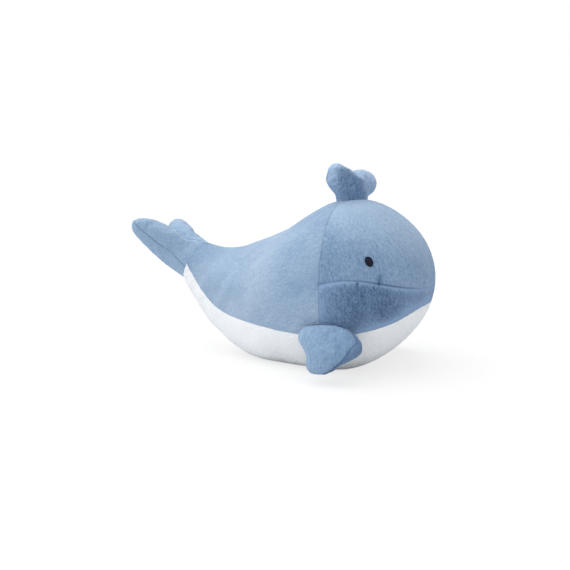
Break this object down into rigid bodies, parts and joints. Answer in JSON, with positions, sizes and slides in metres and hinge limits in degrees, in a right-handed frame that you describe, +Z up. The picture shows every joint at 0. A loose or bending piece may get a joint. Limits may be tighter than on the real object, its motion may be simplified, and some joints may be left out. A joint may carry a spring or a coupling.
{
  "type": "stuffed whale toy",
  "caption": "Stuffed plush whale that rocks on its round weighted belly, with a white belly panel, stitched eyes, hanging fins, raised flukes and a lobed spout.",
  "frame": {"origin": "on the flat that the belly presses on the floor, on the whale's middle plane", "axes": "+X to the nose, +Y to the whale's left, +Z up"},
  "size_m": [0.3041, 0.177, 0.1861],
  "materials": {
    "blue_plush": "matte",
    "white_plush": "matte",
    "fibre_fill": "matte",
    "eye_thread": "satin",
    "pouch_cotton": "matte",
    "ballast_pellets": "satin"
  },
  "bodies": {
    "body": {"belly_panel": "white_plush", "back_panel_right": "blue_plush", "back_panel_left": "blue_plush", "head_cap_panel": "blue_plush", "jaw_panel": "blue_plush", "body_stuffing": "fibre_fill", "ballast_pouch_upper": "pouch_cotton", "ballast_pouch_lower": "pouch_cotton", "ballast_pellets": "ballast_pellets", "right_eye": "eye_thread", "left_eye": "eye_thread"},
    "right_fin": {"right_fin_outer_panel": "blue_plush", "right_fin_inner_panel": "blue_plush", "right_fin_stuffing": "fibre_fill"},
    "left_fin": {"left_fin_outer_panel": "blue_plush", "left_fin_inner_panel": "blue_plush", "left_fin_stuffing": "fibre_fill"},
    "right_fluke": {"right_fluke_upper_panel": "blue_plush", "right_fluke_lower_panel": "blue_plush", "right_fluke_stuffing": "fibre_fill"},
    "left_fluke": {"left_fluke_upper_panel": "blue_plush", "left_fluke_lower_panel": "blue_plush", "left_fluke_stuffing": "fibre_fill"},
    "spout": {"spout_front_panel": "blue_plush", "spout_back_panel": "blue_plush", "spout_stuffing": "fibre_fill"}
  },
  "joints": [
    {"name": "right_fin_flap", "type": "hinge", "parent": "body", "child": "right_fin", "pos_m": [0.04486, -0.07604, 0.04224], "axis": [-0.9947, -0.1031, 0], "range_deg": [-10, 70], "stiffness_Nm_per_rad": 0.02},
    {"name": "left_fin_flap", "type": "hinge", "parent": "body", "child": "left_fin", "pos_m": [0.04486, 0.07604, 0.04224], "axis": [0.9947, -0.1031, 0], "range_deg": [-10, 70], "stiffness_Nm_per_rad": 0.02},
    {"name": "right_fluke_bend", "type": "hinge", "parent": "body", "child": "right_fluke", "pos_m": [-0.15323, -0.011, 0.09962], "axis": [0, 1, 0], "range_deg": [-35, 35], "stiffness_Nm_per_rad": 0.04},
    {"name": "left_fluke_bend", "type": "hinge", "parent": "body", "child": "left_fluke", "pos_m": [-0.15323, 0.011, 0.09962], "axis": [0, 1, 0], "range_deg": [-35, 35], "stiffness_Nm_per_rad": 0.04},
    {"name": "spout_tilt", "type": "hinge", "parent": "body", "child": "spout", "pos_m": [0.035, 0, 0.1683], "axis": [0.225, 0.9744, 0], "range_deg": [-35, 35], "stiffness_Nm_per_rad": 0.02}
  ]
}
